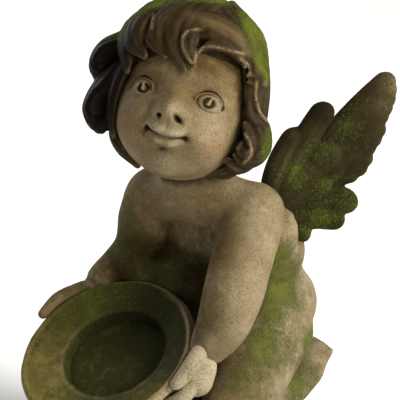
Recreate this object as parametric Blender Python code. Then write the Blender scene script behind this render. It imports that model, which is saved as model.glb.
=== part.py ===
"""Angel garden statue: a kneeling cherub that holds a round tilted dish, cast in one piece with its low oval base.

Metres, +Z up. The figure faces -Y and its left side is +X. The origin is the centre of the base's underside.
The figure is pressed together like clay: balls and limbs are joined, remeshed to one skin and smoothed.
"""

import math

import bpy
import bmesh
from mathutils import Euler, Matrix, Vector

# Driving sizes in metres
FIGURE_HEIGHT = 0.331
BASE_HEIGHT = 0.019
BASE_LENGTH = 0.232
BASE_WIDTH = 0.184
BASE_EDGE = 0.006
DISH_DIAMETER = 0.135
DISH_DEPTH = 0.026
DISH_WALL = 0.009
RECESS_DIAMETER = 0.078
RECESS_DEPTH = 0.009

# Turns of the head and the dish in degrees
HEAD_TURN = 34
HEAD_LEAN = 9
HEAD_LIFT = 20
DISH_TILT = 35.9
DISH_TURN = 13.8
WING_SWEEP = 50

# Landmarks in units, of which the figure is 97.3 high: x, y and height above the base
PELVIS = (4.5, 22.6, 24.0)
WAIST = (4.6, 22.4, 32.4)
CHEST = (2.0, 11.0, 43.0)
BACK = (5.4, 19.4, 40.0)
BELLY = (-1.4, 6.2, 30.0)
NECK = (1.2, 3.4, 53.6)
HEAD = (3.0, -1.9, 71.5)
DISH_CENTRE = (-2.3, -19.9, 21.8)
SHOULDERS = {"left": (13.6, 9.3, 49.6), "right": (-10.8, 3.6, 50.0)}
SHOULDER_BLADES = {"left": (10.8, 17.4, 44.0), "right": (-5.6, 15.0, 44.0)}
ELBOWS = {"left": (19.4, -4.0, 35.4), "right": (-14.4, 1.4, 38.4)}
HIPS = {"left": (10.4, 19.2, 20.6), "right": (-3.0, 19.2, 20.2)}
KNEES = {"left": (16.0, -1.2, 6.2), "right": (-12.4, -4.6, 6.2)}
ANKLES = {"left": (11.6, 25.0, 4.0), "right": (-5.8, 24.4, 4.0)}
TOES = {"left": (11.0, 34.2, 10.6), "right": (-5.4, 34.0, 10.2)}
WING_ROOTS = {"left": (13.0, 19.0, 48.6), "right": (-10.0, 16.0, 48.6)}

# An eye in the head's frame, and the half axes of its ball
EYE = (7.2, -10.8, 2.6)
EYEBALL = (2.6, 1.9, 2.0)

# Where each hand holds the dish: degrees round its rim, from the figure's left towards its chest
GRIPS = {"left": 2, "right": 141}

# Locks of hair: thickness, then points in the head's frame from the parting to the tip
HAIR_LOCKS = (
    (2.6, (1, -6, 22), (-1.4, -10.6, 17), (-1.6, -12.4, 12.4), (2.2, -12.8, 9.2)),
    (2.4, (2, -7, 22), (4.4, -11.4, 16.6), (9.4, -10.0, 15), (13, -8.2, 11.8)),
    (1.8, (2.8, -12.6, 10.4), (3.4, -12.2, 13.2), (7, -11.2, 14), (11.6, -9.0, 11.6)),
    (2.6, (0, -7, 21), (-5, -10.6, 16), (-6.2, -11.2, 12), (-3.6, -12.2, 9.6)),
    (2.6, (-2, -5, 21), (-8.4, -8.8, 16), (-10.4, -8.6, 11.6), (-8.4, -10.2, 9.6)),
    (2.6, (-6, -3, 19), (-11.2, -6.6, 14), (-12.8, -6.4, 8.6), (-12, -7.4, 4)),
    (3.4, (-10, -2, 12), (-15.6, -1.6, 9.8), (-19.2, -1, 7.8), (-17.4, -2.4, 4.6)),
    (4.2, (-14, 0, 4), (-16.2, -1, 0.6), (-17.8, -1, -2.8), (-14.6, -2.8, -6.2)),
    (2.8, (-13, 4, -2), (-11.8, 4, -7.6), (-8.8, 4, -10.8), (-5.6, 3, -12)),
    (3.2, (6, -3, 21), (10.8, -2, 17.4), (14.0, -1.4, 11.4), (15.0, -2.4, 6)),
    (3.4, (13, 0, 10), (15.8, -0.6, 4.4), (17.2, -0.6, -2), (16.8, -1, -6.2)),
    (1.8, (10.4, -8, 13.4), (13.2, -7, 9.6), (13.6, -6.8, 5.6), (15.8, -5, 1.6)),
    (2.0, (16, -5, 1.8), (16.2, -5, -2), (15.4, -5.4, -5.6), (14.2, -6, -8)),
    (2.6, (18.2, -1, -3), (17.8, -2, -7), (15.6, -3.6, -8.6), (14.6, -5, -6.4)),
    (4.4, (-8, 9, 20), (-12.8, 9, 9), (-13, 7, -2), (-8.4, 8, -9.6)),
    (4.4, (9, 9, 20), (14, 8, 9), (15.6, 6, -2), (12, 6, -9.6)),
    (4.4, (-3, 13, 21), (-6, 16.2, 10), (-6.4, 14.6, -2), (-3.4, 12, -9.6)),
    (4.4, (3, 13, 21), (5.4, 16.2, 10), (6.8, 14.6, -2), (4.4, 12, -9.6)),
)

# Feathers of one wing in its plane, outwards and up from its root: start, tip, width and thickness
FEATHERS = (
    ((2, 8), (25.6, 30.6), 6.4, 2.8),
    ((2, 6), (24.2, 22.8), 7.6, 2.8),
    ((2, 4), (22.0, 15.2), 7.8, 2.8),
    ((2, 2), (19.0, 8.6), 8.0, 2.8),
    ((0, 0), (17.4, 1.2), 9.0, 3.4),
    ((0, -1), (11.6, -5.0), 8.4, 3.4),
    ((0, -2), (5.0, -8.4), 6.0, 3.4),
    ((-2, 1), (11.6, 25.0), 8.6, 4.6),
    ((-5, 1), (6.6, 15.4), 9.6, 5.4),
    ((-2, 1), (9.6, 6.4), 9.0, 5.0),
)

UNIT = FIGURE_HEIGHT / 97.3
CLAY_GRAIN = UNIT * 0.7
BODY_TRIANGLES = 3600
HEAD_TRIANGLES = 3500
ROUND_STEPS = 56


def clear_scene():
    for obj in list(bpy.data.objects):
        bpy.data.objects.remove(obj, do_unlink=True)


def add_object(name, data):
    obj = bpy.data.objects.new(name, data)
    bpy.context.scene.collection.objects.link(obj)
    return obj


def rotation(degrees, axis):
    return Matrix.Rotation(math.radians(degrees), 3, axis)


def place(share):
    """A landmark in units, as a point in metres."""
    return Vector((share[0] * UNIT, share[1] * UNIT, BASE_HEIGHT + share[2] * UNIT))


def ball(centre, radii, turn=Matrix.Identity(3)):
    """An ellipsoid of clay; radii in units."""
    size = Matrix.Diagonal((*[radius * UNIT for radius in radii], 1))
    mesh = bpy.data.meshes.new("ball")
    bm = bmesh.new()
    bmesh.ops.create_icosphere(bm, subdivisions=3, radius=1, matrix=Matrix.Translation(centre) @ turn.to_4x4() @ size)
    bm.to_mesh(mesh)
    bm.free()
    return add_object("ball", mesh)


def limb(points, radii):
    """A tapered limb of clay through the points, with a ball in each end."""
    curve = bpy.data.curves.new("limb", "CURVE")
    curve.dimensions = "3D"
    curve.bevel_depth = UNIT
    curve.bevel_resolution = 4
    curve.resolution_u = 6
    curve.use_fill_caps = True
    spline = curve.splines.new("BEZIER")
    spline.bezier_points.add(len(points) - 1)
    for knot, point, radius in zip(spline.bezier_points, points, radii):
        knot.co = point
        knot.radius = radius
        knot.handle_left_type = knot.handle_right_type = "AUTO"
    ends = ((points[0], radii[0]), (points[-1], radii[-1]))
    return [add_object("limb", curve)] + [ball(point, (radius, radius, radius)) for point, radius in ends]


def press(name, shapes, grain, smoothing):
    """Presses the shapes into one closed skin of the given grain and smooths it."""
    bpy.context.view_layer.update()
    graph = bpy.context.evaluated_depsgraph_get()
    joined = bmesh.new()
    for shape in shapes:
        mesh = bpy.data.meshes.new_from_object(shape.evaluated_get(graph))
        joined.from_mesh(mesh)
        bpy.data.meshes.remove(mesh)
        bpy.data.objects.remove(shape)
    mesh = bpy.data.meshes.new(name)
    joined.to_mesh(mesh)
    joined.free()
    obj = add_object(name, mesh)
    remesh = obj.modifiers.new("Skin", "REMESH")
    remesh.mode = "VOXEL"
    remesh.voxel_size = grain
    smooth = obj.modifiers.new("Smooth", "SMOOTH")
    smooth.factor = 0.5
    smooth.iterations = smoothing
    return settle(obj)


def settle(obj):
    """Replaces the object's mesh with what its modifiers make."""
    bpy.context.view_layer.update()
    graph = bpy.context.evaluated_depsgraph_get()
    mesh = bpy.data.meshes.new_from_object(obj.evaluated_get(graph))
    obj.modifiers.clear()
    obj.data = mesh
    return obj


def thin_out(obj, triangles):
    """Collapses small faces until about the given number of triangles is left."""
    obj.data.calc_loop_triangles()
    decimate = obj.modifiers.new("Thin out", "DECIMATE")
    decimate.ratio = min(1, triangles / len(obj.data.loop_triangles))
    return settle(obj)


def dish_turn():
    """Turns +Z to the dish's axis: tipped forward over -Y, then turned towards the figure's left."""
    return Euler((math.radians(DISH_TILT), 0, math.radians(DISH_TURN))).to_matrix()


def head_turn():
    return rotation(HEAD_TURN, "Z") @ rotation(HEAD_LEAN, "Y") @ rotation(-HEAD_LIFT, "X")


def on_head(x, y, z):
    """A point in the head's own frame: x towards its left, y towards its back, z towards its crown."""
    return place(HEAD) + head_turn() @ (Vector((x, y, z)) * UNIT)


def on_rim(degrees, out=0.0, down=0.0):
    """A point beside the dish's rim, out from it and down along the dish's axis."""
    angle = math.radians(degrees)
    radius = DISH_DIAMETER / 2 + out * UNIT
    local = Vector((radius * math.cos(angle), radius * math.sin(angle), -down * UNIT))
    return place(DISH_CENTRE) + dish_turn() @ local


def trunk():
    made = [
        ball(place(PELVIS), (10.4, 9.6, 9.6)),
        ball(place(WAIST), (10.6, 11.0, 11.0)),
        ball(place(BELLY), (12.8, 10.6, 12.0)),
        ball(place(CHEST), (12.0, 10.0, 10.6), rotation(16, "Z")),
        ball(place(BACK), (9.6, 9.0, 10.0)),
    ]
    for side in ("left", "right"):
        made.append(ball(place(SHOULDER_BLADES[side]), (6.8, 6.4, 8.0)))
        made += limb([place(SHOULDERS[side]), place(NECK)], (6.4, 6.6))
    return made + limb([place(NECK), place(HEAD)], (7.2, 6.6))


def leg(side):
    hip, knee, ankle, toe = (place(where[side]) for where in (HIPS, KNEES, ANKLES, TOES))
    thigh = limb([hip, hip.lerp(knee, 0.5), knee], (9.4, 8.8, 6.6))
    shin = limb([knee, knee.lerp(ankle, 0.55), ankle], (6.0, 5.4, 3.8))
    foot = limb([ankle, ankle.lerp(toe, 0.5), toe], (3.9, 4.3, 3.4))
    return thigh + shin + foot


def arm(side):
    shoulder, elbow = place(SHOULDERS[side]), place(ELBOWS[side])
    behind_grip = 11 if side == "left" else -13
    wrist = on_rim(GRIPS[side] + behind_grip, out=2.4, down=1.6)
    fold = 6.3 if side == "left" else 5.6
    upper = limb([shoulder, shoulder.lerp(elbow, 0.55), elbow], (7.2, 6.8, fold))
    lower = limb([elbow, elbow.lerp(wrist, 0.5), wrist], (fold, fold * 0.86, 3.2))
    return upper + lower


def hand(side):
    """A palm outside the dish, a thumb along its wall and four fingers that curl under it."""
    forward = -1 if side == "left" else 1

    def at(turn, out, down):
        return on_rim(GRIPS[side] + forward * turn, out, down)

    made = limb([at(-8, 2.2, 2.2), at(3, 2.2, 4.2)], (3.0, 3.6))
    made += limb([at(-8, 2.0, 0.4), at(4, 1.6, 0.2), at(15, 0.8, 0.5)], (1.9, 1.9, 1.4))
    for finger in range(4):
        back, drop, inward = 2.4 * finger, 1.35 * finger, 1.2 * finger
        made += limb([at(5 - back, 2.3 - inward, 3.4 + drop), at(16 - back, 1.4 - inward, 4.2 + drop),
                      at(24 - back, -0.8 - inward, 5.0 + drop)], (1.8, 1.7, 1.4))
    return made


def head():
    """Skull, cheeks and chin."""
    turn = head_turn()
    made = [
        ball(on_head(0, 0, 0), (14.2, 13.2, 14.0), turn),
        ball(on_head(0, 1.0, 7), (13.6, 13.4, 13.4), turn),
        ball(on_head(0, -9.2, -9.4), (4.2, 3.4, 3.2), turn),
    ]
    return made + [ball(on_head(7.0 * side, -7.6, -5.2), (5.6, 5.2, 5.2), turn) for side in (-1, 1)]


def features():
    """Nose, lips, eyeballs and eyelids."""
    turn = head_turn()
    made = [
        ball(on_head(0, -14.2, -1.2), (1.7, 1.9, 1.4), turn),
        ball(on_head(0, -13.2, -4.9), (3.0, 1.2, 0.7), turn),
        ball(on_head(0, -12.9, -6.9), (2.2, 1.3, 0.8), turn),
    ]
    made += limb([on_head(0, -12.8, 3.6), on_head(0, -13.6, 0)], (0.8, 1.2))
    for side in (-1, 1):
        made.append(ball(on_head(1.6 * side, -13.6, -1.7), (1.0, 1.2, 0.9), turn))
        made.append(ball(on_head(EYE[0] * side, EYE[1], EYE[2]), EYEBALL, turn))
        lid = []
        for step in range(5):
            angle = math.pi * step / 4
            across, rise = math.cos(angle) * EYEBALL[0], math.sin(angle) * EYEBALL[2]
            lid.append(on_head((EYE[0] + across) * side, EYE[1] - 1.7 + 0.24 * across, EYE[2] + rise))
        made += limb(lid, (0.4, 0.6, 0.7, 0.6, 0.4))
    return made


def hair():
    turn = head_turn()
    made = [
        ball(on_head(-1.4, 3, 12.4), (15.4, 14.8, 15.2), turn),
        ball(on_head(0, 6.4, 1), (14.8, 11, 12), turn),
    ]
    for thickness, *path in HAIR_LOCKS:
        radii = [thickness * 0.8] + [thickness] * (len(path) - 2) + [thickness * 0.45]
        made += limb([on_head(*point) for point in path], radii)
    return made


def wing(side):
    """Feathers fan out from the shoulder blade in an upright plane that is swept back."""
    mirror = 1 if side == "left" else -1
    sweep = math.radians(WING_SWEEP)
    out = Vector((math.cos(sweep) * mirror, math.sin(sweep), 0))
    up = Vector((0, 0, 1))
    through = out.cross(up)
    made = []
    for number, (near, far, width, thickness) in enumerate(FEATHERS):
        layer = 1.1 if number % 2 else -1.1
        start, tip = (place(WING_ROOTS[side]) + (out * end[0] + up * end[1] + through * layer) * UNIT
                      for end in (near, far))
        along = (tip - start).normalized()
        turn = Matrix((along, through.cross(along), through)).transposed()
        made.append(ball((start + tip) / 2, ((tip - start).length / 2 / UNIT, width / 2, thickness / 2), turn))
    return made


def ground():
    """The mound of earth that carries the dish between the knees."""
    under = place(DISH_CENTRE) - dish_turn() @ Vector((0, 0, DISH_DEPTH + 7 * UNIT))
    foot = Vector((under.x, under.y, BASE_HEIGHT * 0.4 + 11 * UNIT))
    return limb([under, foot], (9, 11)) + limb([under, place((-3.0, 4.0, 15.0))], (8, 12))


def base():
    bm = bmesh.new()
    oval = Matrix.Diagonal((BASE_WIDTH / 2, BASE_LENGTH / 2, BASE_HEIGHT, 1))
    bmesh.ops.create_cone(bm, cap_ends=True, segments=ROUND_STEPS, radius1=1, radius2=1, depth=1,
                          matrix=oval @ Matrix.Translation((0, 0, 0.5)))
    top = [edge for edge in bm.edges if all(vert.co.z > BASE_HEIGHT / 2 for vert in edge.verts)]
    bmesh.ops.bevel(bm, geom=top, offset=BASE_EDGE, segments=3, profile=0.5, affect="EDGES")
    mesh = bpy.data.meshes.new("base")
    bm.to_mesh(mesh)
    bm.free()
    return add_object("base", mesh)


def turned(name, profile):
    """A solid turned on the dish's axis from a profile of radius and height, both ends on the axis."""
    bm = bmesh.new()
    verts = [bm.verts.new((radius, 0, height)) for radius, height in profile]
    edges = [bm.edges.new(pair) for pair in zip(verts, verts[1:])]
    bmesh.ops.spin(bm, geom=verts + edges, axis=(0, 0, 1), cent=(0, 0, 0), angle=math.tau, steps=ROUND_STEPS)
    bmesh.ops.remove_doubles(bm, verts=bm.verts, dist=0.00002)
    bmesh.ops.recalc_face_normals(bm, faces=bm.faces)
    mesh = bpy.data.meshes.new(name)
    bm.to_mesh(mesh)
    bm.free()
    mesh.transform(Matrix.Translation(place(DISH_CENTRE)) @ dish_turn().to_4x4())
    return add_object(name, mesh)


def bowl():
    outer, lip = DISH_DIAMETER / 2, DISH_WALL / 2
    return turned("bowl", [(0, -DISH_DEPTH), (outer * 0.5, -DISH_DEPTH), (outer * 0.8, -DISH_DEPTH * 0.66),
                           (outer - lip * 0.3, -lip * 1.7), (outer, -lip), (outer - lip * 0.3, -lip * 0.25),
                           (outer - lip, 0), (0, 0)])


def hollow():
    """What is taken out of the dish: a sloping rim, then a round recess with a flat floor."""
    recess = RECESS_DIAMETER / 2
    rim = DISH_DIAMETER / 2 - DISH_WALL / 2
    drop = DISH_DEPTH - DISH_WALL - RECESS_DEPTH
    brow = recess + DISH_WALL / 3
    return turned("hollow", [(0, -drop - RECESS_DEPTH), (recess, -drop - RECESS_DEPTH), (recess, -drop),
                             (brow, -drop * 0.92), ((brow + rim) / 2, -drop * 0.5), (rim, -0.001),
                             (rim + 0.0005, DISH_WALL / 2), (0, DISH_WALL / 2)])


def combine(obj, other, operation):
    """Joins the other solid to the object or cuts it out, and hides it."""
    modifier = obj.modifiers.new(other.name, "BOOLEAN")
    modifier.operation = operation
    modifier.solver = "EXACT"
    modifier.object = other
    other.hide_render = True
    other.display_type = "WIRE"


def stone():
    material = bpy.data.materials.new("Weathered cast stone")
    material.use_nodes = True
    shader = material.node_tree.nodes["Principled BSDF"]
    shader.inputs["Base Color"].default_value = (0.36, 0.31, 0.20, 1)
    shader.inputs["Roughness"].default_value = 0.85
    shader.inputs["Metallic"].default_value = 0
    return material


def build():
    clear_scene()
    soft = trunk() + ground()
    for side in ("left", "right"):
        soft += leg(side) + arm(side)
    shapes = [press("body", soft, CLAY_GRAIN * 1.4, smoothing=9)]
    for side in ("left", "right"):
        shapes += wing(side) + hand(side)
    statue = thin_out(press("angel_statue", shapes, CLAY_GRAIN, smoothing=2), BODY_TRIANGLES)
    skull = press("skull", head(), CLAY_GRAIN * 0.8, smoothing=14)
    carved = press("head", [skull] + features() + hair(), CLAY_GRAIN * 0.5, smoothing=2)
    combine(statue, thin_out(carved, HEAD_TRIANGLES), "UNION")
    combine(statue, bowl(), "UNION")
    combine(statue, base(), "UNION")
    combine(statue, hollow(), "DIFFERENCE")
    statue.data.materials.append(stone())


build()
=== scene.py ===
import math

import bpy
import numpy as np
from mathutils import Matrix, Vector


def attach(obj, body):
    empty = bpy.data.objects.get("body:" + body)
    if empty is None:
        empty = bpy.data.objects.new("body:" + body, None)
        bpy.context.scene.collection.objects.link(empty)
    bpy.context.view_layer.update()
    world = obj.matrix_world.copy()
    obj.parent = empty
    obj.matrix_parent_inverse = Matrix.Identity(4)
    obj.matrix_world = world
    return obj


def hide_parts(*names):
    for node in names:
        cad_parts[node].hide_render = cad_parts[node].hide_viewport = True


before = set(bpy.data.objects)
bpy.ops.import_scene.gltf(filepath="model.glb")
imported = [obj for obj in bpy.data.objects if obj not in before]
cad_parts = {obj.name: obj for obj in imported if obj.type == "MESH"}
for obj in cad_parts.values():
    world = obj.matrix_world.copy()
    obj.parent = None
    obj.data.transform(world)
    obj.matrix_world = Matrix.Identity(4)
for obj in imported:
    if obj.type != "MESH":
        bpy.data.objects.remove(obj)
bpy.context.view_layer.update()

# the figure is 97.3 units high and stands on a slab 19 mm thick; it faces -Y and its left side is +X
unit = 0.331 / 97.3
slabTop = 0.019
sides = {"left": 1, "right": -1}


def place(spot):  # a landmark in units, in metres
    return np.array([spot[0] * unit, spot[1] * unit, slabTop + spot[2] * unit])


def turned(degrees, axis):
    # rotation about one of the main axes, as a 3 by 3 array
    c, s = math.cos(math.radians(degrees)), math.sin(math.radians(degrees))
    a, b = {"x": (1, 2), "y": (2, 0), "z": (0, 1)}[axis]
    made = np.eye(3)
    made[a, a] = made[b, b] = c
    made[b, a], made[a, b] = s, -s
    return made


def unitLength(vectors):
    return vectors / np.maximum(np.linalg.norm(vectors, axis=-1, keepdims=True), 1e-12)


def ramp(values, low, high):
    # 0 below low, 1 above high, smooth between
    t = np.clip((values - low) / (high - low), 0, 1)
    return t * t * (3 - 2 * t)


def fade(far, width):
    # a soft bump exp(-(far / width)^2): 1 at nought and about a third one width away
    return np.exp(-(far / width) ** 2)


def positive(values):
    return np.maximum(values, 0)


def distance(points, spot):
    return np.linalg.norm(points - spot, axis=1)


def cornerValue(cell, seed):
    # a fixed number from 0 to 1 for each whole-number corner of space
    mixed = cell[:, 0] * 374761393 + cell[:, 1] * 668265263 + cell[:, 2] * 1440662683 + seed * 974634777
    mixed = (mixed ^ (mixed >> 13)) * 1274126177
    mixed = mixed ^ (mixed >> 16)
    return (mixed & 65535) / 65535.0


def lumps(points, size, seed=0, octaves=3):
    # value noise from -1 to 1: eight corner values blended smoothly, and finer octaves at half the strength
    total, weight, strength = np.zeros(len(points)), 0.0, 1.0
    for octave in range(octaves):
        spot = points / size * 2 ** octave + 31.7 * (octave + 1)
        cell = np.floor(spot).astype(np.int64)
        part = spot - cell
        part = part * part * (3 - 2 * part)
        value = np.zeros(len(points))
        for corner in range(8):
            bits = np.array([corner & 1, corner >> 1 & 1, corner >> 2 & 1])
            share = np.prod(np.where(bits == 1, part, 1 - part), axis=1)
            value += share * cornerValue(cell + bits, seed + octave)
        total += strength * (value * 2 - 1)
        weight += strength
        strength *= 0.5
    return total / weight


def nearPath(points, path):
    # distance from each point to a smooth line through the path's points
    line = smoothLine(np.array(path, float), 36)[0]
    best = np.full(len(points), 1e9)
    for start, end in zip(line, line[1:]):
        along = end - start
        share = np.clip((points - start) @ along / (along @ along), 0, 1)
        best = np.minimum(best, np.linalg.norm(points - start - share[:, None] * along, axis=1))
    return best


def skinFaces(rows, columns):
    # a grid that is closed round its columns, with one pole before the first row and one after the last
    row, column = np.meshgrid(np.arange(rows - 1), np.arange(columns), indexing="ij")
    here = 1 + row * columns + column
    beside = 1 + row * columns + (column + 1) % columns
    quads = np.stack([here, beside, beside + columns, here + columns], axis=-1).reshape(-1, 4)
    ring = np.arange(columns)
    first = np.stack([np.zeros(columns, int), 1 + (ring + 1) % columns, 1 + ring], axis=-1)
    last = 1 + (rows - 1) * columns
    end = np.stack([np.full(columns, last + columns), last + ring, last + (ring + 1) % columns], axis=-1)
    return quads, np.concatenate([first, end])


def closedSkin(grid, firstPole, lastPole):
    # points and faces of a closed skin, turned so that its faces point outwards
    rows, columns = grid.shape[:2]
    points = np.concatenate([[firstPole], grid.reshape(-1, 3), [lastPole]])
    quads, triangles = skinFaces(rows, columns)
    middle = points.mean(axis=0)
    a, b, c = (points[quads[:, k]] - middle for k in (0, 1, 2))
    if np.einsum("ij,ij->i", a, np.cross(b, c)).sum() < 0:
        quads, triangles = quads[:, ::-1], triangles[:, ::-1]
    return points, quads, triangles


def egg(centre, radii, turn=np.eye(3), rows=30, columns=44):
    # an ellipsoid: x = a sin v cos u, y = b sin v sin u, z = c cos v, turned and carried to its centre
    v = (np.arange(1, rows + 1) / (rows + 1) * math.pi)[:, None]
    u = (np.arange(columns) / columns * math.tau)[None, :]
    ball = np.stack([np.sin(v) * np.cos(u), np.sin(v) * np.sin(u), np.cos(v) * np.ones_like(u)], axis=-1)
    size = np.array(radii) * unit
    pole = turn @ np.array([0, 0, size[2]])
    return closedSkin(centre + (ball * size) @ turn.T, centre + pole, centre - pole)


def smoothLine(knots, steps):
    # Catmull-Rom curve through the knots: points and the knot number each lies at
    knots = np.asarray(knots, float)
    ends = np.concatenate([[2 * knots[0] - knots[1]], knots, [2 * knots[-1] - knots[-2]]])
    where = np.linspace(0, len(knots) - 1, steps)
    span = np.minimum(where.astype(int), len(knots) - 2)
    t = (where - span)[:, None]
    p0, p1, p2, p3 = (ends[span + k] for k in range(4))
    line = 0.5 * (2 * p1 + (p2 - p0) * t + (2 * p0 - 5 * p1 + 4 * p2 - p3) * t ** 2
                  + (3 * p1 - p0 - 3 * p2 + p3) * t ** 3)
    return line, where


def sweep(knots, radii, around=24, steps=30, awayFrom=None, flat=1.0, ridges=(), twist=0.0):
    # a profile carried along a smooth line, with round ends; the profile's radius is
    # r (1 + sum of depth (|cos(count phi / 2 + twist s)|^0.6 - 1)), and flat squeezes it away from a centre
    line, where = smoothLine(knots, steps)
    size = np.interp(where, np.arange(len(radii)), radii)[:, None] * unit
    along = unitLength(np.gradient(line, axis=0))
    cap = np.linspace(0, math.pi / 2, 6)[:-1]
    before = line[0] - along[0] * size[0] * np.cos(cap)[:, None]
    after = line[-1] + along[-1] * size[-1] * np.cos(cap[::-1])[:, None]
    path = np.concatenate([before, line, after])
    size = np.concatenate([size[0] * np.sin(cap)[:, None] + 1e-6, size, size[-1] * np.sin(cap[::-1])[:, None] + 1e-6])
    along = np.concatenate([np.repeat(along[:1], len(cap), 0), along, np.repeat(along[-1:], len(cap), 0)])
    centre = np.array([0, 0, 1e3]) if awayFrom is None else np.asarray(awayFrom)
    out = path - centre
    out = unitLength(out - along * np.einsum("ij,ij->i", out, along)[:, None])
    across = np.cross(along, out)
    phi = (np.arange(around) / around * math.tau)[None, :]
    s = np.linspace(0, 1, len(path))[:, None]
    reach = np.ones((len(path), around))
    for count, depth in ridges:
        reach = reach + depth * (np.abs(np.cos(count * phi / 2 + twist * s)) ** 0.6 - 1)
    profile = size * reach
    grid = path[:, None] + (profile * np.cos(phi) * flat)[..., None] * out[:, None] \
        + (profile * np.sin(phi))[..., None] * across[:, None]
    return closedSkin(grid[1:-1], path[0], path[-1])


def gather(skins):  # many skins as one, still apart
    points, quads, triangles, count = [], [], [], 0
    for skin in skins:
        points.append(skin[0])
        quads.append(skin[1] + count)
        triangles.append(skin[2] + count)
        count += len(skin[0])
    return np.concatenate(points), np.concatenate(quads), np.concatenate(triangles)


def toMesh(name, points, quads, triangles=None):
    mesh = bpy.data.meshes.new(name)
    faces = quads.tolist() + ([] if triangles is None else triangles.tolist())
    mesh.from_pydata(points.tolist(), [], faces)
    mesh.shade_smooth()
    return mesh


def toObject(name, mesh):
    made = bpy.data.objects.new(name, mesh)
    bpy.context.scene.collection.objects.link(made)
    return made


def fuse(skins, grain):
    # the skins become one skin: a voxel remesh of the given grain, read back as points and four-sided faces
    made = toObject("clay", toMesh("clay", *gather(skins)))
    remesh = made.modifiers.new("Skin", "REMESH")
    remesh.mode = "VOXEL"
    remesh.voxel_size = grain
    bpy.context.view_layer.update()
    mesh = made.evaluated_get(bpy.context.evaluated_depsgraph_get()).to_mesh()
    points = np.empty(len(mesh.vertices) * 3)
    mesh.vertices.foreach_get("co", points)
    quads = np.empty(len(mesh.loops), int)
    mesh.loops.foreach_get("vertex_index", quads)
    bpy.data.objects.remove(made)
    return points.reshape(-1, 3), quads.reshape(-1, 4)


def edgesOf(quads):
    return np.concatenate([quads[:, [k, (k + 1) % 4]] for k in range(4)])


def soften(values, edges, rounds, amount=0.5):
    # each round carries every value part of the way to the mean of its neighbours
    values = np.array(values, float).reshape(len(values), -1)
    count = len(values)
    a, b = edges[:, 0], edges[:, 1]
    degree = np.maximum(np.bincount(a, minlength=count) + np.bincount(b, minlength=count), 1)
    for _ in range(rounds):
        sums = [np.bincount(a, column[b], count) + np.bincount(b, column[a], count) for column in values.T]
        near = np.stack(sums, axis=1)
        values = values + amount * (near / degree[:, None] - values)
    return values if values.shape[1] > 1 else values[:, 0]


def normalsOf(points, quads):
    # the mean of the faces round a point; a face's normal is the cross product of its diagonals
    faceNormal = np.cross(points[quads[:, 2]] - points[quads[:, 0]], points[quads[:, 3]] - points[quads[:, 1]])
    spread = np.repeat(faceNormal, 4, axis=0)
    total = np.stack([np.bincount(quads.ravel(), column, len(points)) for column in spread.T], axis=1)
    return unitLength(total)


def raised(points, quads, height):
    # the skin moved along its normals, by a height in metres at each point
    return points + normalsOf(points, quads) * height[:, None]


def hollows(points, quads, rounds, depth):
    # 1 deep in a hollow and -1 on a sharp edge: how far the softened skin lies outside the skin
    away = soften(points, edgesOf(quads), rounds) - points
    return np.clip(np.einsum("ij,ij->i", away, normalsOf(points, quads)) / depth, -1, 1)


def mossHeight(points, moss, start=0.35, size=0.003, least=0.3, height=0.0006):
    # a fuzzy cushion where the moss is thick
    return ramp(moss, start, start + 0.4) * (least + (1 - least) * lumps(points, size, 4)) * height


def patches(points, spots):
    # a share from 0 to 1: soft round patches at the given spots, each with its radius in units and its strength
    total = np.zeros(len(points))
    for x, y, z, radius, strength in spots:
        far = distance(points, place((x, y, z))) / (radius * unit)
        total = np.maximum(total, strength * np.exp(-far ** 2 * 0.7))
    return total


# the painted marks, each 0 to 1: moss; dirt with painted shade; stains with painted shade; a rosy tint with a painted
# sheen on the hair; rubbed edges with painted highlights
markNames = ("moss", "grimeAndShade", "stainAndShade", "blushAndSheen", "wearAndHighlight")


def finish(name, points, quads, marks, material, triangles=None):
    # one piece: its mesh, its painted marks as attributes, its material and its place in the model
    made = toObject(name, toMesh(name, points, quads, triangles))
    for mark in markNames:
        values = np.clip(marks.get(mark, np.zeros(len(points))), 0, 1)
        made.data.attributes.new(mark, "FLOAT", "POINT").data.foreach_set("value", values.astype(np.float32))
    made.data.materials.append(material)
    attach(made, "root")
    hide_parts("angel_statue")
    print(name, len(quads) * 2 + (0 if triangles is None else len(triangles)), "triangles")
    return made


def node(tree, kind, inputs=None, **settings):
    made = tree.nodes.new(kind)
    for name, value in settings.items():
        setattr(made, name, value)
    for key, value in (inputs or {}).items():
        if isinstance(value, bpy.types.NodeSocket):
            tree.links.new(value, made.inputs[key])
        else:
            made.inputs[key].default_value = value
    return made


def blend(tree, share, first, second):
    return node(tree, "ShaderNodeMix", {0: share, 6: first, 7: second}, data_type="RGBA").outputs[2]


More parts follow.
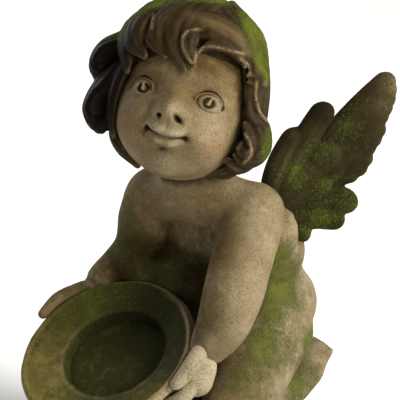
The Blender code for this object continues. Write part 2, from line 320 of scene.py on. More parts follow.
def weathered(name, look):
    # the casting's own colour with speckles, a dark wash for dirt and painted shade in the hollows, rubbed edges with
    # painted highlights, stains with painted shade, a rosy tint with a painted sheen, and moss
    material = bpy.data.materials.new(name)
    material.use_nodes = True
    tree = material.node_tree
    shader = tree.nodes["Principled BSDF"]
    where = node(tree, "ShaderNodeTexCoord").outputs["Object"]
    mark = {key: node(tree, "ShaderNodeAttribute", attribute_name=key).outputs["Fac"] for key in markNames}

    def level(value, low, high, top=1.0):  # 0 below low, top above high, smooth between
        return node(tree, "ShaderNodeMapRange", {0: value, 1: low, 2: high, 3: 0.0, 4: top},
                    interpolation_type="SMOOTHSTEP").outputs[0]

    def speckle(scale, detail, rough):
        return node(tree, "ShaderNodeTexNoise",
                    {"Vector": where, "Scale": scale, "Detail": detail, "Roughness": rough}).outputs[0]

    def maths(how, *values):
        return node(tree, "ShaderNodeMath", dict(enumerate(values)), operation=how).outputs[0]

    broad, middle, fine, dust = (speckle(*grain) for grain in speckles)
    colour = blend(tree, level(broad, 0.35, 0.65), look["ground"], look["groundDark"])
    # the last blend puts the dark wash where dirt and painted shade are marked, and the pale rubbed colour also
    # paints highlights
    for share, paint in (
            (level(middle, 0.42, 0.72, 0.7), "groundWarm"), (mark["blushAndSheen"], "blushAndSheen"),
            (maths("MULTIPLY", mark["stainAndShade"], level(middle, 0.05, 0.52)), "stainAndShade"),
            (maths("MULTIPLY", mark["wearAndHighlight"], level(fine, 0.25, 0.6)), "paleWearAndHighlight"),
            (maths("MULTIPLY", level(dust, 0.50, 0.68, look["dots"]), level(middle, 0.12, 0.56)), "wash"),
            (level(fine, 0.60, 0.76, look["dots"] * 0.7), "wash"),
            (level(maths("MULTIPLY_ADD", middle, 0.5, maths("SUBTRACT", mark["grimeAndShade"], 0.25)), 0.12, 0.85), "wash")):
        colour = blend(tree, share, colour, look[paint])
    ragged = mark["moss"]
    for noise, strength in ((middle, 1.0), (fine, 1.0), (dust, 0.8)):
        ragged = maths("MULTIPLY_ADD", maths("SUBTRACT", noise, 0.5), look["ragged"] * strength, ragged)
    mossy = level(ragged, *look["mossEdge"], look["cover"])
    green = blend(tree, level(mark["moss"], 0.35, 0.95), look["mossDark"], look["mossBright"])
    for share, paint in ((level(broad, 0.4, 0.62, 0.6), "mossDark"), (level(dust, 0.42, 0.66, 0.65), "mossDeep"),
                         (level(fine, 0.52, 0.74, 0.55), "mossTip")):
        green = blend(tree, share, green, look[paint])
    tree.links.new(blend(tree, mossy, colour, green), shader.inputs["Base Color"])
    smooth, coarse = look["rough"]
    rough = node(tree, "ShaderNodeMapRange", {0: fine, 1: 0.3, 2: 0.7, 3: smooth, 4: coarse}).outputs[0]
    rough = maths("MAXIMUM", rough, maths("MULTIPLY", mossy, 0.96))
    tree.links.new(rough, shader.inputs["Roughness"])
    shader.inputs["Specular IOR Level"].default_value = look["shine"]
    height = maths("MULTIPLY_ADD", fine, 0.6, maths("MULTIPLY", dust, 0.35))
    height = maths("MULTIPLY_ADD", middle, 0.5, height)
    fuzz = maths("MULTIPLY", mossy, maths("MULTIPLY_ADD", dust, 1.2, fine))
    height = maths("MULTIPLY_ADD", fuzz, 1.3, height)
    bump = node(tree, "ShaderNodeBump", {"Strength": look["bump"], "Distance": 0.0009, "Height": height})
    tree.links.new(bump.outputs[0], shader.inputs["Normal"])
    return material


# noise shared by the materials, broad to fine: scale in 1/m, detail and roughness
speckles = ((34.0, 4.0, 0.55), (150.0, 5.0, 0.62), (620.0, 3.0, 0.6), (1350.0, 2.0, 0.5))

mossGreens = dict(mossDark=(0.026, 0.034, 0.007, 1), mossBright=(0.110, 0.125, 0.012, 1),
                  mossDeep=(0.012, 0.015, 0.004, 1), mossTip=(0.150, 0.165, 0.024, 1), mossEdge=(0.22, 0.80),
                  ragged=0.9, cover=0.96)

castStone = weathered("cast stone, weathered", dict(
    mossGreens, ground=(0.245, 0.202, 0.122, 1), groundDark=(0.172, 0.136, 0.074, 1),
    groundWarm=(0.190, 0.140, 0.074, 1), blushAndSheen=(0.230, 0.118, 0.060, 1), stainAndShade=(0.088, 0.052, 0.011, 1),
    wash=(0.024, 0.014, 0.004, 1), paleWearAndHighlight=(0.36, 0.31, 0.21, 1), dots=0.7, rough=(0.68, 0.90), shine=0.08, bump=0.45,
    mossDark=(0.044, 0.050, 0.010, 1), mossBright=(0.110, 0.120, 0.016, 1), mossDeep=(0.024, 0.028, 0.006, 1),
    mossTip=(0.165, 0.170, 0.036, 1), mossEdge=(0.12, 0.72), ragged=0.65, cover=0.94))

# on the hair the tint colour is the pale brown of the painted sheen
brownHair = weathered("brown wash on the hair", dict(
    mossGreens, ground=(0.026, 0.0160, 0.0052, 1), groundDark=(0.014, 0.0088, 0.0032, 1),
    groundWarm=(0.040, 0.0245, 0.0083, 1), blushAndSheen=(0.110, 0.072, 0.030, 1), stainAndShade=(0.014, 0.009, 0.0035, 1),
    wash=(0.004, 0.0027, 0.0012, 1), paleWearAndHighlight=(0.26, 0.185, 0.100, 1), dots=0.3, rough=(0.50, 0.70), shine=0.06,
    bump=0.3, mossBright=(0.092, 0.102, 0.010, 1)))

darkWing = weathered("dark wash on the feathers", dict(
    mossGreens, ground=(0.026, 0.020, 0.0065, 1), groundDark=(0.012, 0.0095, 0.0032, 1),
    groundWarm=(0.034, 0.022, 0.008, 1), blushAndSheen=(0.05, 0.03, 0.015, 1), stainAndShade=(0.009, 0.0065, 0.003, 1),
    wash=(0.005, 0.004, 0.002, 1), paleWearAndHighlight=(0.17, 0.14, 0.065, 1), dots=0.35, rough=(0.65, 0.9), shine=0.04, bump=0.5,
    mossBright=(0.082, 0.096, 0.010, 1), mossTip=(0.140, 0.150, 0.022, 1)))

dampDish = weathered("damp algae on the dish", dict(
    mossGreens, ground=(0.150, 0.118, 0.032, 1), groundDark=(0.088, 0.072, 0.018, 1),
    groundWarm=(0.108, 0.066, 0.021, 1), blushAndSheen=(0.150, 0.092, 0.050, 1), stainAndShade=(0.036, 0.038, 0.009, 1),
    wash=(0.014, 0.014, 0.004, 1), paleWearAndHighlight=(0.30, 0.24, 0.14, 1), dots=0.6, rough=(0.66, 0.9), shine=0.05, bump=0.5,
    mossDark=(0.036, 0.042, 0.008, 1), mossBright=(0.130, 0.142, 0.018, 1), mossDeep=(0.018, 0.021, 0.005, 1),
    mossEdge=(0.20, 0.70)))

# angles in degrees, distance and pixel in metres, and the middle of the picture in pixels from the origin
view = dict(azimuth=45, elevation=14, distance=1.6, pixel=0.36 / 470, across=10, up=245, back=15)


def setView():
    a, e = math.radians(view["azimuth"]), math.radians(view["elevation"])
    toCamera = Vector((math.sin(a) * math.cos(e), -math.cos(a) * math.cos(e), math.sin(e)))
    right = Vector((math.cos(a), math.sin(a), 0))
    up = toCamera.cross(right)
    target = (right * view["across"] + up * view["up"] + Vector((0, view["back"], 0))) * view["pixel"]
    camera = bpy.data.objects.new("camera", bpy.data.cameras.new("camera"))
    bpy.context.scene.collection.objects.link(camera)
    camera.data.lens = 36 * view["distance"] / (400 * view["pixel"])
    camera.data.clip_end = 20
    camera.location = target + toCamera * view["distance"]
    camera.rotation_mode = "QUATERNION"
    camera.rotation_quaternion = toCamera.to_track_quat("Z", "Y")
    bpy.context.scene.camera = camera
    return target, toCamera, right, up


def addLamp(name, spot, target, energy, size, colour):
    lamp = bpy.data.objects.new(name, bpy.data.lights.new(name, "AREA"))
    bpy.context.scene.collection.objects.link(lamp)
    lamp.data.energy = energy
    lamp.data.size = size
    lamp.data.color = colour
    lamp.location = spot
    lamp.rotation_mode = "QUATERNION"
    lamp.rotation_quaternion = (spot - target).to_track_quat("Z", "Y")


# metres to the right, up and towards the camera; then power, size and colour
lamps = dict(key=((3.2, 2.1, 2.0), 325, 1.9, (1, 0.975, 0.93)), fill=((1.8, 0.2, 2.9), 50, 1.0, (1, 0.95, 0.86)),
             back=((-2.6, 2.2, -2.0), 130, 2.4, (1, 0.98, 0.95)))


def setStage():
    target, toCamera, right, up = setView()
    corners = np.array([[-9, -9, 0], [9, -9, 0], [9, 9, 0], [-9, 9, 0]], float)
    floor = toObject("floor", toMesh("floor", corners, np.array([[0, 1, 2, 3]])))
    paper = bpy.data.materials.new("pale floor")
    paper.use_nodes = True
    shader = paper.node_tree.nodes["Principled BSDF"]
    shader.inputs["Base Color"].default_value = (0.93, 0.93, 0.93, 1)
    shader.inputs["Roughness"].default_value = 0.9
    floor.data.materials.append(paper)
    world = bpy.data.worlds.new("studio")
    world.use_nodes = True
    world.node_tree.nodes["Background"].inputs[0].default_value = (1, 1, 1, 1)
    world.node_tree.nodes["Background"].inputs[1].default_value = 0.13
    bpy.context.scene.world = world
    bpy.context.scene.view_settings.view_transform = "Standard"
    for name, (spot, energy, size, colour) in lamps.items():
        addLamp(name, target + right * spot[0] + up * spot[1] + toCamera * spot[2], target, energy, size, colour)
    print("stage set")


setStage()


headLook = dict(turn=32, lean=11, lift=20, centre=(3.0, -1.9, 71.5), columns=320, rows=224,
                eyes=(7.2, 8.0), eyeHeight=2.6, eyeWidths=(2.4, 2.0), eyeSize=1.75, irises=(7.0, 7.4), irisSize=1.2,
                mouth=-5.9)
headTurn = turned(headLook["turn"], "z") @ turned(headLook["lean"], "y") @ turned(-headLook["lift"], "x")


def onHead(points):  # points in the head's own frame, in units: x to its left, y to its back, z to its crown
    return place(headLook["centre"]) + (np.asarray(points, float) * unit) @ headTurn.T


def faceRelief(x, z, front):
    # heights in units over the plain skull: each is a soft bump A exp(-((x-x0)/a)^2 - ((z-z0)/b)^2)
    # or a groove along a line; the marks are laid on in the same way
    def bump(x0, z0, a, b):
        return np.exp(-((x - x0) / a) ** 2 - ((z - z0) / b) ** 2)

    def pair(x0, z0, a, b):
        return bump(x0, z0, a, b) + bump(-x0, z0, a, b)

    rise = 1.4 * pair(7.6, -5.6, 4.2, 4.2) + 1.4 * bump(0, -4.2, 4.4, 2.6) + 1.6 * bump(0, -10.8, 3.8, 2.4)
    rise += -0.85 * pair(6.4, 3.0, 3.6, 2.6) + 0.35 * pair(6.6, 6.8, 4.0, 1.5) + 0.3 * bump(0, 9, 7, 4)
    rise += 0.6 * bump(0, 1.6, 1.5, 2.4) + 2.5 * bump(0, -0.6, 2.5, 1.9) + 0.9 * pair(2.7, -1.3, 1.2, 1.0)
    rise += -0.3 * pair(4.6, -2.2, 1.0, 1.8) + 0.9 * bump(0, -13.2, 9, 1.8)
    # brown in the eye sockets, beside the nose, at the mouth's corners and below the lip, partly stain and partly
    # painted shade; brown on the bridge, the temple, the brows and the far cheek
    stainAndShade = 0.4 * bump(0, 2.5, 2.4, 3.0) + 0.3 * bump(12.5, 4, 2, 5)
    stainAndShade += 0.55 * pair(4.2, 3.0, 2.0, 2.8) + 0.25 * pair(4.6, -1.4, 1.6, 2.4) + 0.5 * pair(4.6, -5.6, 1.4, 1.8)
    stainAndShade += 0.35 * bump(0, -9.0, 3.0, 1.2) + 0.35 * pair(7.5, 5.2, 3.4, 1.2) + 0.15 * bump(-11.5, -6, 1.8, 6)
    # painted shade: under the fringe on the forehead, at the inner corners of the eyes, beside the nose and under it
    grimeAndShade = 0.45 * bump(3.0, 9.4, 6.0, 3.0) + 0.20 * pair(5.0, 2.4, 1.4, 1.6)
    grimeAndShade += 0.12 * pair(4.1, -1.0, 0.9, 1.4) + 0.05 * bump(0, -3.0, 1.8, 0.6)
    across, down = np.abs(x) - 1.9, z + 2.2
    dip = np.radians(np.where(x > 0, 44, 25))  # the nostrils slant outwards and down
    along, aside = across * np.cos(dip) - down * np.sin(dip), across * np.sin(dip) + down * np.cos(dip)
    nostril = np.exp(-(along / np.where(x > 0, 1.0, 0.52)) ** 2 - (aside / 0.46) ** 2)
    # the nostrils are cut in and darkened with painted shade
    rise -= 1.8 * nostril
    grimeAndShade += 1.3 * nostril
    # mouth: a smile line that rises to its corners, with full lips and a dimple beneath
    line = headLook["mouth"] + 0.044 * x ** 2 - 0.06 * x
    wide = ramp(-np.abs(x), -4.4, -3.4)
    groove = fade(z - line, 0.28) * wide
    corner = bump(4.1, headLook["mouth"] + 0.35, 0.55, 0.5) + bump(-4.0, headLook["mouth"] + 0.75, 0.5, 0.6)
    rise += -0.7 * groove - 0.8 * corner
    rise += 0.85 * fade(z - line - 1.0, 0.85) * ramp(-np.abs(x), -4.2, -1.2)
    rise += 1.6 * fade(z - line + 0.95, 0.8) * (0.9 * bump(-1.5, -6.6, 1.5, 9) + 1.15 * bump(1.3, -6.8, 1.5, 9))
    rise -= 0.25 * bump(0, -3.9, 0.55, 0.9) + 0.75 * bump(0, -8.7, 1.5, 0.6)
    # painted shade in the mouth line, at its corners, in the dimple under the lip, beside one corner and under the
    # chin
    grimeAndShade += 0.7 * groove * ramp(np.abs(x) + 2.0, 0, 5) + 1.2 * corner + 0.7 * bump(-0.3, -8.7, 1.2, 0.45)
    grimeAndShade += 0.35 * bump(-4.3, -6.4, 0.8, 0.9) + 0.3 * fade(z + 12.6, 0.6) * ramp(-np.abs(x), -6, -3)
    # eyes: a ball in an oval opening with a drawn-out corner, a lid round it with a fold above,
    # and a dark iris with a drop of light
    ax, left = np.abs(x), x > 0
    eyeX = (ax - np.where(left, *headLook["eyes"])) / np.where(left, *headLook["eyeWidths"])
    eyeZ = (z - headLook["eyeHeight"] + 0.42 * np.clip(eyeX, 0, 2) ** 1.5) / headLook["eyeSize"]
    q = np.sqrt(eyeX ** 2 + eyeZ ** 2)
    ball = np.sqrt(np.clip(1 - (q / 1.08) ** 2, 0, 1))
    upper = ramp(eyeZ, -0.35, 0.25)
    lid = fade(q - 1.20, 0.13)
    foldAt = 1.12 + 0.30 * np.clip(eyeZ / np.maximum(q, 0.2), 0, 1)
    fold = fade(q - foldAt, np.where(left, 0.085, 0.12))
    fold = fold * ramp(eyeZ, -0.45, 0.0) * ramp(eyeX, -1.25, np.where(left, -0.55, -0.1))
    rim = fade(q - 1.02, 0.06)
    rise += 1.05 * ball + lid * (0.10 + 0.36 * upper) - 0.4 * fold - 0.20 * rim * (0.35 + 0.65 * upper)
    irisX, irisZ = ax - np.where(left, *headLook["irises"]), z - headLook["eyeHeight"] + 0.1
    size = headLook["irisSize"]
    disc = ramp(-np.hypot(irisX, irisZ), -size - 0.15, -size + 0.15)
    dropX = irisX - 0.05 - np.where(left, 0.30, 0.20) * irisZ
    drop = fade(dropX, 0.42 - 0.13 * irisZ) * ramp(irisZ, -0.75, -0.35) * ramp(-irisZ, -1.7, -1.1)
    rise += -0.55 * disc * (1 - drop) - 0.1 * disc
    # painted shade in the grooves of the rim and the fold and above the eye under the brow; the iris is darkened
    # round its drop
    grimeAndShade += 0.75 * rim * (0.4 + 0.6 * upper) + 1.0 * fold
    grimeAndShade += 0.3 * fade(q - 1.5, 0.3) * upper + disc * (1 - 0.9 * drop)
    blushAndSheen = 0.55 * pair(8.4, -5.8, 3.2, 3.0) + 0.12 * bump(0, -0.6, 1.6, 1.4)
    # painted highlights: pale on the nose tip, the upper lip, the cheek, the chin, the lower lip and the drop in each
    # iris
    wearAndHighlight = 0.5 * bump(0.4, -0.6, 1.6, 1.4) + 0.55 * fade(z - line - 1.1, 0.8) * wide + 0.2 * bump(6.8, -3.0, 3.0, 3.0)
    wearAndHighlight += 0.3 * bump(0, -10.8, 3, 2) + 0.4 * drop * disc + 0.3 * fade(z - line + 1.0, 0.6) * bump(0.8, -6.9, 2.4, 2)
    return [values * front for values in (rise, np.clip(grimeAndShade, 0, 1.2), blushAndSheen, stainAndShade, wearAndHighlight)]


def makeHead():
    # directions crowd towards the face: longitude u = s - 0.55 sin s, polar angle v = t + 0.2 sin 2t;
    # the radius is the larger of two ellipsoids, blended, and the face's relief is added to it
    s = (np.arange(headLook["columns"]) / headLook["columns"] * math.tau - math.pi)[None, :]
    t = (np.arange(1, headLook["rows"] + 1) / (headLook["rows"] + 1) * math.pi)[:, None]
    u, v = s - 0.55 * np.sin(s), t + 0.2 * np.sin(2 * t)
    direction = np.stack([np.sin(v) * np.sin(u), -np.sin(v) * np.cos(u), np.cos(v) * np.ones_like(u)], axis=-1)
    start = np.array([0, 0, 2.0])

    def reach(centre, radii):
        offset, scaled = (start - centre) / radii, direction / radii
        a, b, c = (scaled ** 2).sum(-1), (scaled * offset).sum(-1), (offset ** 2).sum() - 1
        return (-b + np.sqrt(b ** 2 - a * c)) / a

    one = reach(np.array([0, 0, 0.0]), np.array([14.2, 13.2, 14.0]))
    two = reach(np.array([0, 1.0, 7.0]), np.array([13.6, 13.4, 13.4]))
    radius = np.maximum(one, two) + 0.25 * np.log1p(np.exp(-np.abs(one - two) / 0.25))
    plain = start + radius[..., None] * direction
    front = ramp(-plain[..., 1], 1.0, 6.0)
    rise, grimeAndShade, blushAndSheen, stainAndShade, wearAndHighlight = faceRelief(plain[..., 0], plain[..., 2], front)
    grid = start + (radius + rise)[..., None] * direction
    flat = grid.reshape(-1, 3)
    rough = 0.05 * lumps(flat, 1.6, 5) + 0.09 * lumps(flat, 6.0, 9)
    grid = grid + (rough.reshape(radius.shape) * (1 - 0.6 * front))[..., None] * direction
    points, quads, triangles = closedSkin(onHead(grid.reshape(-1, 3)).reshape(grid.shape),
                                          onHead([0, 0, 20.4]), onHead([0, 0, -14.1]))
    local = np.concatenate([[[0, 0, 20]], plain.reshape(-1, 3), [[0, 0, -14]]])
    pad = lambda values: np.concatenate([[0], values.ravel(), [0]])
    x, z = local[:, 0], local[:, 2]
    hairline = ramp(z, 4.0, 9.5) * 0.8 + ramp(np.abs(x), 9.5, 13.0) * np.where(x > 0, 0.35, 0.2)
    stainAndShade = pad(stainAndShade) + hairline * (0.65 + 0.45 * lumps(local, 4.0, 3)) + 0.22
    moss = 0.12 * ramp(x, 9.5, 13.5) * ramp(z, -10, -2) + 0.10 * ramp(z, 6, 11) + 0.05 * ramp(-x, 5, 12)
    marks = dict(grimeAndShade=pad(grimeAndShade), blushAndSheen=pad(blushAndSheen), stainAndShade=stainAndShade, moss=moss, wearAndHighlight=pad(wearAndHighlight))
    return finish("angelHead", points, quads, marks, castStone, triangles)


makeHead()

hairLook = dict(frontGrain=0.00092, backGrain=0.0013, flat=0.62, fuller=1.18, backLocks=8,
                # where the moss begins: heights with the x of the edge, and x with the heights of the edge
                rightEdge=((-6, 5.6, 10, 13.2, 20.2, 24.6), (18.8, 18.6, 16.4, 13.4, 8.6, 5.4)),
                leftEdge=((-16, -13.5, -8.2, -4, 0, 5), (11.5, 16.5, 20.0, 21.8, 22.6, 23.4)),
                moss=[(3, 14, 86, 13, 0.8), (-4, 16, 74, 10, 0.5), (10, 18, 66, 9, 0.55)],
                sheen=[(-1.2, 0, 19.3), (4.4, 0, 18.8), (9.3, 0, 17.8), (12.0, 0, 15.2)])

# locks of hair in the head's frame: knots from the parting to the tip, and the radius at each
hairLocks = [
    ([(2, -4, 24), (0.8, -8.0, 21.4), (-0.6, -11.0, 17.0), (-0.2, -12.6, 13.0), (2.5, -13.3, 9.4)],
     (2.4, 2.7, 2.5, 2.0, 0.5)),
    ([(-1.6, -9.4, 18.6), (1.6, -10.4, 19.2), (6.2, -9.6, 18.4), (10.2, -7.6, 16.2), (13.0, -6.0, 12.4)],
     (1.6, 2.5, 2.9, 2.6, 1.4)),
    ([(0.6, -11.2, 15.6), (3.8, -11.2, 16.8), (7.8, -9.8, 16.4), (11.2, -8.4, 14.8), (12.8, -7.8, 12.8)],
     (0.9, 1.6, 1.9, 1.7, 0.7)),
    ([(2.4, -12.2, 12.6), (4.4, -12.0, 14.4), (7.8, -10.8, 14.8), (10.8, -9.4, 13.6), (12.0, -9.0, 12.0)],
     (0.4, 1.0, 1.3, 1.2, 0.5)),
    ([(11.8, -8.2, 14.6), (13.4, -7.4, 13.2), (14.0, -7.2, 11.4), (13.0, -8.2, 10.4)], (1.0, 1.3, 1.2, 0.5)),
    ([(13.4, -6.8, 12.2), (14.6, -6.4, 10.8), (14.4, -6.8, 9.4), (13.4, -7.6, 9.2)], (0.8, 1.1, 0.9, 0.4)),
    ([(-1, -5, 24), (-5.1, -7.6, 20.6), (-7.3, -9.8, 16.4), (-7.0, -11.2, 13.0), (-4.1, -12.6, 10.0)],
     (2.8, 3.2, 3.0, 2.3, 0.6)),
    ([(0.4, -6, 23.4), (-3.0, -8.8, 20.0), (-4.0, -11.2, 15.6), (-2.5, -12.6, 11.6), (0.8, -13.3, 7.6)],
     (2.4, 2.6, 2.4, 1.7, 0.45)),
    ([(-4, -3, 24), (-10.1, -5.8, 19.2), (-12.0, -8.0, 15.0), (-11.6, -9.4, 11.6), (-8.7, -11.2, 9.0)],
     (3.0, 3.4, 3.1, 2.4, 0.7)),
    ([(-6, -1, 23), (-12.6, -3.0, 17.4), (-14.0, -5.6, 13.2), (-13.4, -7.2, 9.6), (-12.2, -8.2, 5.6)],
     (3.0, 3.4, 3.1, 2.4, 0.8)),
    ([(-9.0, -2.0, 19.0), (-14.8, -2.0, 13.2), (-19.4, -1.6, 9.8), (-20.4, -1.4, 6.0), (-18.0, -2.8, 4.2),
      (-16.2, -4.0, 6.6)],
     (2.8, 3.2, 2.9, 2.6, 2.0, 1.0)),
    ([(-13.4, -2.6, 9.0), (-15.8, -2.8, 5.0), (-18.4, -1.6, 0.6), (-19.0, -1.4, -3.6), (-16.8, -2.2, -6.2),
      (-14.2, -3.8, -4.6)],
     (2.6, 3.0, 3.1, 3.0, 2.4, 1.0)),
    ([(-13.0, -5.5, 8.0), (-14.0, -5.2, 4.0), (-14.2, -4.8, 0.0), (-13.6, -4.6, -4.0), (-12.4, -4.4, -8.0)],
     (1.8, 2.1, 2.2, 2.0, 0.8)),
    ([(-13.0, 3.5, -3.0), (-13.0, 3.0, -7.0), (-10.8, 3.2, -10.0), (-7.8, 3.6, -12.2)], (3.0, 2.8, 2.3, 1.2)),
    ([(2, 0, 24.0), (6.6, -1, 22.0), (10.0, -0.5, 19.2), (12.8, 0, 14.6), (14.6, 0, 9.0), (15.8, -0.4, 2.6),
      (16.2, -0.6, -2)],
     (3.0, 3.4, 3.4, 3.4, 3.4, 3.2, 2.2)),
    ([(4, -4, 23), (8.6, -4.6, 19.4), (11.8, -4.6, 15.4), (13.8, -4.4, 10.6), (14.8, -4.2, 6.0), (16.6, -3.6, 2.0)],
     (2.6, 3.0, 3.0, 2.8, 2.4, 1.3)),
    ([(13.2, -6.2, 13.0), (14.8, -5.2, 11.0), (15.2, -4.8, 8.0), (16.0, -4.6, 4.8), (17.9, -3.8, 2.2)],
     (1.3, 1.8, 1.8, 1.7, 0.7)),
    ([(13.6, -6.4, 8.8), (14.4, -5.6, 6.2), (15.1, -5.4, 3.4), (16.9, -5.0, 1.4), (19.0, -3.8, 0.8)],
     (0.7, 1.1, 1.3, 1.3, 0.6)),
    ([(15.0, -3.6, 3.0), (17.4, -3.4, 0.6), (18.8, -3.2, -2.9), (18.2, -3.8, -5.6), (16.4, -4.8, -6.8),
      (14.4, -5.4, -6.2)],
     (2.2, 2.8, 2.7, 2.3, 1.7, 0.7)),
    ([(15.0, -5.8, 0.4), (16.4, -6.2, -2.2), (17.2, -6.2, -4.2), (16.4, -6.6, -5.4), (15.0, -6.6, -4.6),
      (15.2, -6.8, -3.2)],
     (1.0, 1.4, 1.3, 1.1, 0.9, 0.4)),
    ([(16.4, 0.0, -2.0), (16.6, -0.8, -5.6), (15.0, -2.4, -8.0), (12.8, -3.6, -7.6)], (3.2, 2.8, 2.2, 1.0)),
    ([(14.0, 3.0, -2.0), (14.0, 2.0, -6.4), (12.0, 1.0, -9.4), (9.4, 0.6, -10.6)], (3.4, 3.0, 2.5, 1.2)),
]


# pale lines along the front locks' edges, rubbed edges with painted highlights, as x and z in the head's frame
hairEdges = [
    [(2.0, 17.1), (-0.4, 16.2), (-1.4, 14.6), (-0.9, 12.4), (0.7, 10.4), (2.2, 9.4)],
    [(2.3, 9.6), (2.2, 11.4), (2.8, 13.0), (4.7, 14.0), (8.2, 14.1), (11.3, 14.4)],
    [(10.8, 13.1), (12.7, 12.4), (13.3, 10.8)], [(15.2, 13.0), (16.4, 11.4), (16.6, 9.6)],
    [(15.0, 9.4), (15.3, 7.1), (16.7, 4.2), (18.6, 2.6), (20.0, 2.4)],
    [(15.4, -1.6), (16.9, -3.2), (17.6, -5.4), (16.4, -7.4)],
    [(13.2, -8.4), (16.4, -9.2), (19.4, -7.8), (21.0, -5.2)], [(-9.3, 17.9), (-8.6, 14.8)],
]


def capRadius(turn, z):
    # the hair's outline at a height: the larger of the cap's and the back's ellipse, seen from the axis at y = 4
    top = np.sqrt(np.clip(1 - ((z - 12.4) / 14.6) ** 2, 0.02, 1)) * 14.4
    low = np.sqrt(np.clip(1 - ((z - 1.0) / 12.4) ** 2, 0.02, 1)) * (13.6 - 0.6 * np.cos(turn))
    return np.where(z > 12.4, top, np.maximum(top, low))


def backLocks():
    # wavy locks fan out from the crown and hang to the nape, in two layers that are half a lock apart
    made = []
    for layer, (high, low, swing) in enumerate(((25.6, 2.0, 2.2), (12.0, -10.5, 3.0))):
        for k in range(hairLook["backLocks"]):
            turn = math.radians(8 + 164 * (k + 0.5 * layer) / (hairLook["backLocks"] - 0.5))
            z = np.linspace(high, low, 6)
            sway = turn + swing / 14 * np.sin(np.linspace(0, 5.2, 6) + k)
            radius = capRadius(turn, z) - 1.2 + np.array([0, 0, 0.2, 0.4, 0.8, 1.6]) * (0.6 + 0.6 * layer)
            knots = np.stack([-0.8 + radius * np.cos(sway) * 1.02, 4 + radius * np.sin(sway) * 0.94, z], axis=1)
            made.append((knots, (1.6, 2.9, 3.2, 3.1, 2.6, 1.0)))
    return made


def swept(locks):
    # every lock is a swept profile with broad strands and fine ones that turn slowly along it
    centre, made = onHead((0, 2, 6)), []
    for number, (knots, radii) in enumerate(locks):
        radii = np.array(radii) * hairLook["fuller"]
        strands = max(4, round(max(radii) * 2.6))
        made.append(sweep(onHead(knots), radii, 120, 80, awayFrom=centre,
                          flat=hairLook["flat"] if max(radii) > 2.4 else 0.85,
                          ridges=((strands, 0.12), (strands * 4 - 1, 0.035)), twist=(2.2 if number % 2 else -2.2)))
    return made


def dressHair(name, skins, grain):
    points, quads = fuse(skins, grain)
    points = soften(points, edgesOf(quads), 1, 0.35)
    cut = hollows(points, quads, 6, unit * 0.16)
    deep = hollows(points, quads, 50, unit * 1.0)
    x, y, z = ((points - place(headLook["centre"])) @ headTurn / unit).T  # the head's own frame, in units
    byRight = 0.85 * ramp(x - np.interp(z, *hairLook["rightEdge"]), -1.6, 1.8) * ramp(z, -9, -5)
    byLeft = 0.85 * ramp(z - np.interp(x, *hairLook["leftEdge"]), -1.2, 1.6) * ramp(-x, -7, -3)
    moss = np.maximum(byRight, byLeft)
    moss = np.maximum(moss, 0.75 * ramp(x + 0.5 * y, 10, 16) * ramp(z, -8, 0) * ramp(y, -2, 2))
    moss = np.maximum(moss, patches(points, hairLook["moss"]) * ramp(y, 1, 6))
    moss += 0.16 * lumps(points, 0.010, 11) - 0.22 * positive(cut)
    flat = np.stack([x, 0 * y, z], axis=1)
    strokes = [nearPath(flat, [(a, 0, b) for a, b in path]) for path in hairEdges]
    far = np.min(strokes, axis=0)
    front = ramp(-y, 2.5, 4.5) * np.clip(0.75 + 0.6 * lumps(points, 0.006, 17), 0.2, 1)
    sheen = fade(nearPath(flat, hairLook["sheen"]), 1.5)
    edge, beside = fade(far, 0.27) * front, fade(far - 0.95, 0.45) * front
    points = raised(points, quads, (0.30 * edge - 0.10 * beside) * unit)
    # dirt and painted shade in the hollows, beside the pale lines, on the head's right side and on the crown; the
    # pale lines and sharp edges are rubbed edges with painted highlights; a painted sheen along the top of the fringe
    marks = dict(grimeAndShade=0.5 * positive(cut) + 0.55 * positive(deep) + 0.35 * beside + 0.75 * ramp(-x, 9, 15)
                 + 0.3 * ramp(z, 17, 23),
                 wearAndHighlight=0.9 * positive(-cut) ** 1.6 + 0.9 * edge, blushAndSheen=0.8 * sheen * front, moss=moss,
                 stainAndShade=0.3 * positive(deep))
    points = raised(points, quads, mossHeight(points, moss, start=0.4, height=0.0005))
    return finish(name, points, quads, marks, brownHair)


def makeHair():
    # the front is the locks of the fringe and temples on a cap, the back is a cap under the hanging locks
    lobes = [egg(onHead((-17.4, -0.6, 7.6)), (4.2, 3.0, 4.0), headTurn),
             egg(onHead((-16.4, -0.6, -2.6)), (4.6, 3.4, 5.0), headTurn)]
    cap = [egg(onHead((-1.2, 2.4, 12.0)), (14.8, 14.2, 14.9), headTurn)]
    dressHair("angelHairFront", cap + lobes + swept(hairLocks), hairLook["frontGrain"])
    low = [egg(onHead((0, 6.4, 1)), (14.0, 10.4, 11.6), headTurn),
           egg(onHead((-1.0, 3.6, 11.8)), (14.2, 13.6, 14.4), headTurn)]
    dressHair("angelHairBack", low + swept(backLocks()), hairLook["backGrain"])


makeHair()

